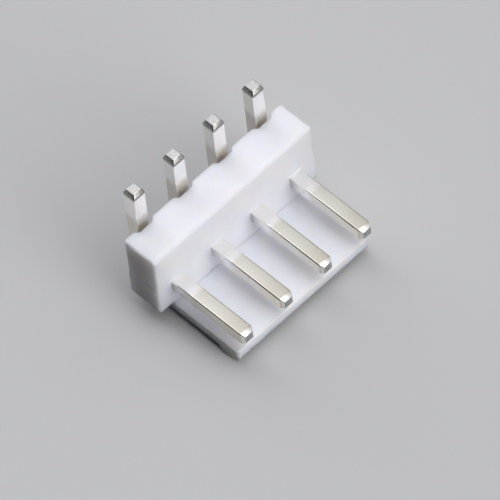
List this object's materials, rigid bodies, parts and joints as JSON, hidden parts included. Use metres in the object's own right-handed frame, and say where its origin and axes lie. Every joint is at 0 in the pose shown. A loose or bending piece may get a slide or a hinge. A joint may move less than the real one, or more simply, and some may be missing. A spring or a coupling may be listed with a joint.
{
  "type": "wire to board connector housing",
  "caption": "Right-angle board header: square bent pins through a white moulded block with a flat friction-lock plate, for a crimped wire connector.",
  "frame": {"origin": "under the middle of the part's box, on the surface that it lies on", "axes": "+X along the row of pins, contact pins point to -Y, solder tails and seating face towards +Z"},
  "size_m": [0.0158, 0.0112, 0.0117],
  "materials": {
    "white_nylon": "satin, slightly translucent white nylon",
    "tin_plate": "bright tin plate over brass wire"
  },
  "bodies": {
    "root": {"housing": "white_nylon", "pin_1": "tin_plate", "pin_2": "tin_plate", "pin_3": "tin_plate", "pin_4": "tin_plate"}
  },
  "joints": []
}
